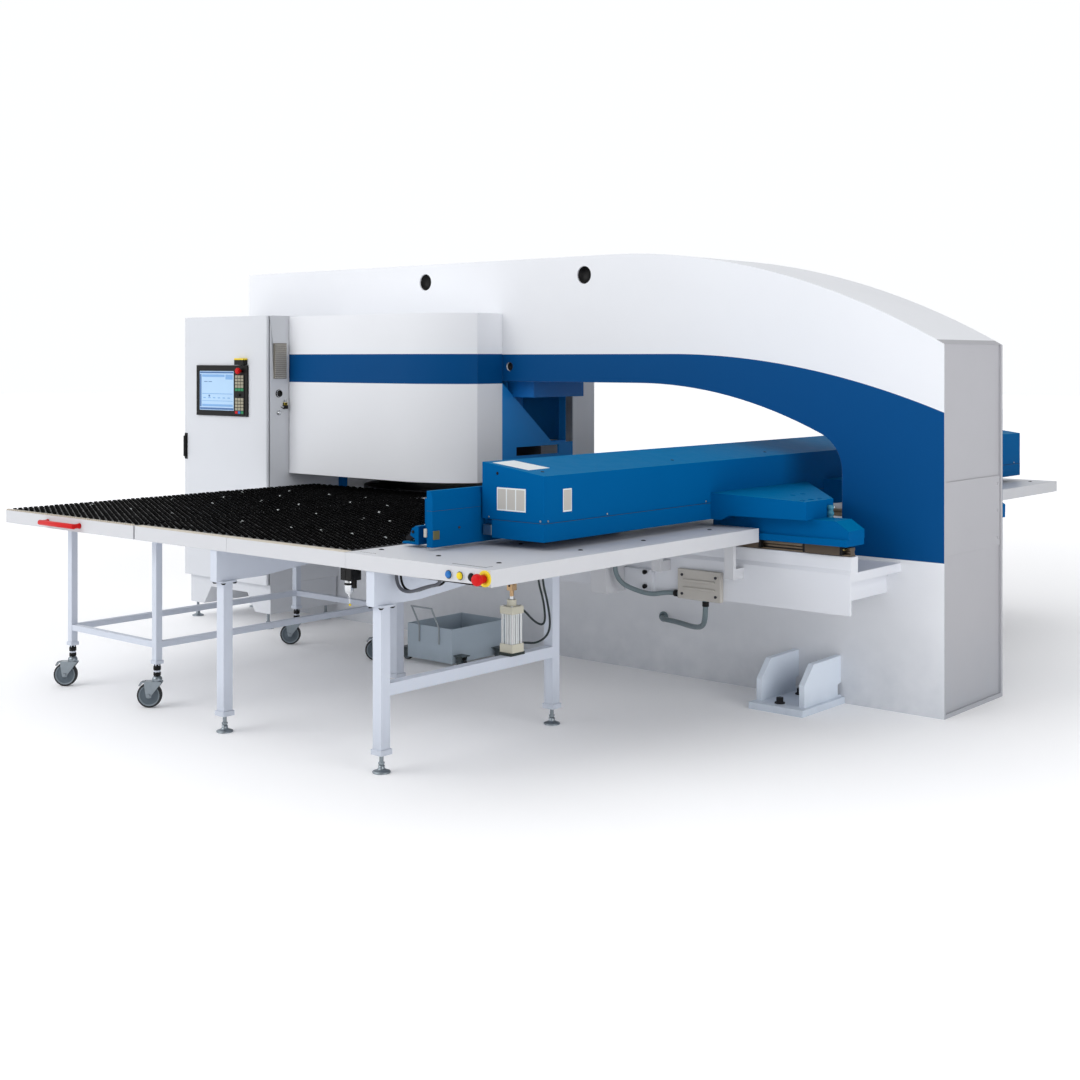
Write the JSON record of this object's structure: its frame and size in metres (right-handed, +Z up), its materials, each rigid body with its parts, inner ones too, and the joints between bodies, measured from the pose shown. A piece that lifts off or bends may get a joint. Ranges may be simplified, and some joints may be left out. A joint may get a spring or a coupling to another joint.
{
  "type": "cnc turret punch press",
  "caption": "Turret punch press: closed frame with twin turrets, travelling beam and clamp carriage, brush tables, control cabinet, slug bin",
  "frame": {"origin": "on the floor, at the middle of the frame's length and in its centre plane", "axes": "+X along the frame towards its open end, +Y along the beam away from the operator, +Z up"},
  "size_m": [5.12, 5.482, 2.256],
  "materials": {
    "white_paint": "satin",
    "grey_paint": "satin",
    "blue_paint": "gloss",
    "steel": "satin",
    "dark_steel": "satin",
    "chrome": "polished",
    "aluminium": "satin",
    "black_plastic": "matt",
    "bristle": "matt",
    "wheel_rubber": "matt",
    "red_plastic": "gloss",
    "yellow_plastic": "gloss",
    "blue_plastic": "gloss",
    "hose": "satin"
  },
  "bodies": {
    "base": {"air_hoses": "hose", "air_valve": "black_plastic", "anchor_bolts": "dark_steel", "anchor_feet": "grey_paint", "bay_panel": "blue_paint", "brush_strips": "bristle", "brush_table_left": "white_paint", "brush_table_right": "white_paint", "cabinet_body": "white_paint", "cart_frame": "white_paint", "cart_table": "white_paint", "centre_table": "white_paint", "cylinder_body": "aluminium", "end_panel": "grey_paint", "guide_rails": "steel", "leg_frame_left": "white_paint", "leg_frame_right": "white_paint", "levelling_feet": "chrome", "o_frame": "grey_paint", "plate_table": "white_paint", "rail_casting_far": "white_paint", "rail_casting_near": "white_paint", "ram_housing": "dark_steel", "scrap_bin": "grey_paint", "table_far": "white_paint", "turret_cover_far": "white_paint", "turret_cover_near": "white_paint", "wiring": "dark_steel"},
    "beam_unit": {"beam": "blue_paint", "beam_cover": "blue_paint", "saddle_near": "blue_paint", "saddle_far": "blue_paint"},
    "carriage_unit": {"carriage": "blue_paint"},
    "jaw_1": {"clamp_jaw_1": "dark_steel"},
    "jaw_2": {"clamp_jaw_2": "dark_steel"},
    "upper_turret_unit": {"upper_turret": "steel", "punch_tools": "dark_steel"},
    "lower_turret_unit": {"lower_turret": "steel"},
    "ram": {"punch_ram": "chrome"},
    "door": {"cabinet_door": "white_paint", "operator_panel": "aluminium"},
    "door_latch": {"door_handle": "black_plastic"},
    "panel_stop": {"panel_estop": "red_plastic"},
    "push_blue": {"button_blue": "blue_plastic"},
    "push_yellow": {"button_yellow": "yellow_plastic"},
    "push_black": {"button_black": "black_plastic"},
    "skirt_stop": {"skirt_estop": "red_plastic"},
    "cylinder_stem": {"cylinder_rod": "chrome"},
    "fork_1": {"caster_fork_1": "steel"},
    "wheel_1": {"caster_wheel_1": "wheel_rubber"},
    "bin_roller_1": {"bin_wheel_1": "wheel_rubber"},
    "fork_2": {"caster_fork_2": "steel"},
    "wheel_2": {"caster_wheel_2": "wheel_rubber"},
    "bin_roller_2": {"bin_wheel_2": "wheel_rubber"},
    "fork_3": {"caster_fork_3": "steel"},
    "wheel_3": {"caster_wheel_3": "wheel_rubber"},
    "bin_roller_3": {"bin_wheel_3": "wheel_rubber"},
    "fork_4": {"caster_fork_4": "steel"},
    "wheel_4": {"caster_wheel_4": "wheel_rubber"},
    "bin_roller_4": {"bin_wheel_4": "wheel_rubber"}
  },
  "joints": [
    {"name": "beam_travel", "type": "slide", "parent": "base", "child": "beam_unit", "axis": [1, 0, 0], "range_m": [-1.15, 0.03]},
    {"name": "carriage_travel", "type": "slide", "parent": "beam_unit", "child": "carriage_unit", "axis": [0, 1, 0], "range_m": [0, 2.5]},
    {"name": "clamp_1_bite", "type": "hinge", "parent": "carriage_unit", "child": "jaw_1", "pos_m": [1.177, -2.38, 0.955], "axis": [0, 1, 0], "range_deg": [0, 10]},
    {"name": "clamp_2_bite", "type": "hinge", "parent": "carriage_unit", "child": "jaw_2", "pos_m": [1.177, -1.5, 0.955], "axis": [0, 1, 0], "range_deg": [0, 10]},
    {"name": "upper_turret_spin", "type": "hinge", "parent": "base", "child": "upper_turret_unit", "pos_m": [-0.93, 0, 1.04], "axis": [0, 0, 1], "continuous": true},
    {"name": "lower_turret_spin", "type": "hinge", "parent": "base", "child": "lower_turret_unit", "pos_m": [-0.93, 0, 0.8], "axis": [0, 0, 1], "continuous": true},
    {"name": "ram_stroke", "type": "slide", "parent": "base", "child": "ram", "axis": [0, 0, 1], "range_m": [-0.035, 0]},
    {"name": "cabinet_door_hinge", "type": "hinge", "parent": "base", "child": "door", "pos_m": [-1.656, -0.902, 1.1], "axis": [0, 0, 1], "range_deg": [0, 90]},
    {"name": "door_handle_swing", "type": "hinge", "parent": "door", "child": "door_latch", "pos_m": [-2.464, -0.9168, 1.195], "axis": [-1, 0, 0], "range_deg": [0, 60]},
    {"name": "panel_stop_push", "type": "slide", "parent": "door", "child": "panel_stop", "axis": [0, 1, 0], "range_m": [0, 0.004], "stiffness_N_per_m": 1500, "springref_m": -0.002},
    {"name": "blue_push", "type": "slide", "parent": "base", "child": "push_blue", "axis": [0, 1, 0], "range_m": [0, 0.003], "stiffness_N_per_m": 1000, "springref_m": -0.002},
    {"name": "yellow_push", "type": "slide", "parent": "base", "child": "push_yellow", "axis": [0, 1, 0], "range_m": [0, 0.003], "stiffness_N_per_m": 1000, "springref_m": -0.002},
    {"name": "black_push", "type": "slide", "parent": "base", "child": "push_black", "axis": [0, 1, 0], "range_m": [0, 0.003], "stiffness_N_per_m": 1000, "springref_m": -0.002},
    {"name": "skirt_stop_push", "type": "slide", "parent": "base", "child": "skirt_stop", "axis": [0, 1, 0], "range_m": [0, 0.004], "stiffness_N_per_m": 1500, "springref_m": -0.002},
    {"name": "cylinder_stroke", "type": "slide", "parent": "base", "child": "cylinder_stem", "axis": [0, 0, 1], "range_m": [0, 0.04]},
    {"name": "caster_1_swivel", "type": "hinge", "parent": "base", "child": "fork_1", "pos_m": [-1.165, -2.563, 0.14], "axis": [0, 0, 1], "continuous": true},
    {"name": "caster_1_roll", "type": "hinge", "parent": "fork_1", "child": "wheel_1", "pos_m": [-1.19229, -2.58648, 0.06], "axis": [-0.6521, 0.7581, 0], "continuous": true},
    {"name": "caster_2_swivel", "type": "hinge", "parent": "base", "child": "fork_2", "pos_m": [-1.165, -1.078, 0.14], "axis": [0, 0, 1], "continuous": true},
    {"name": "caster_2_roll", "type": "hinge", "parent": "fork_2", "child": "wheel_2", "pos_m": [-1.19229, -1.10148, 0.06], "axis": [-0.6521, 0.7581, 0], "continuous": true},
    {"name": "caster_3_swivel", "type": "hinge", "parent": "base", "child": "fork_3", "pos_m": [-0.432, -2.563, 0.14], "axis": [0, 0, 1], "continuous": true},
    {"name": "caster_3_roll", "type": "hinge", "parent": "fork_3", "child": "wheel_3", "pos_m": [-0.45929, -2.58648, 0.06], "axis": [-0.6521, 0.7581, 0], "continuous": true},
    {"name": "caster_4_swivel", "type": "hinge", "parent": "base", "child": "fork_4", "pos_m": [-0.432, -1.078, 0.14], "axis": [0, 0, 1], "continuous": true},
    {"name": "caster_4_roll", "type": "hinge", "parent": "fork_4", "child": "wheel_4", "pos_m": [-0.45929, -1.10148, 0.06], "axis": [-0.6521, 0.7581, 0], "continuous": true},
    {"name": "bin_1_roll", "type": "hinge", "parent": "base", "child": "bin_roller_1", "pos_m": [0.062, -0.955, 0.03], "axis": [0, 1, 0], "continuous": true},
    {"name": "bin_2_roll", "type": "hinge", "parent": "base", "child": "bin_roller_2", "pos_m": [0.062, -0.65, 0.03], "axis": [0, 1, 0], "continuous": true},
    {"name": "bin_3_roll", "type": "hinge", "parent": "base", "child": "bin_roller_3", "pos_m": [-0.352, -0.955, 0.03], "axis": [0, 1, 0], "continuous": true},
    {"name": "bin_4_roll", "type": "hinge", "parent": "base", "child": "bin_roller_4", "pos_m": [-0.352, -0.65, 0.03], "axis": [0, 1, 0], "continuous": true}
  ],
  "couplings": [
    {"joint": "lower_turret_spin", "follows": "upper_turret_spin", "ratio": 1}
  ]
}
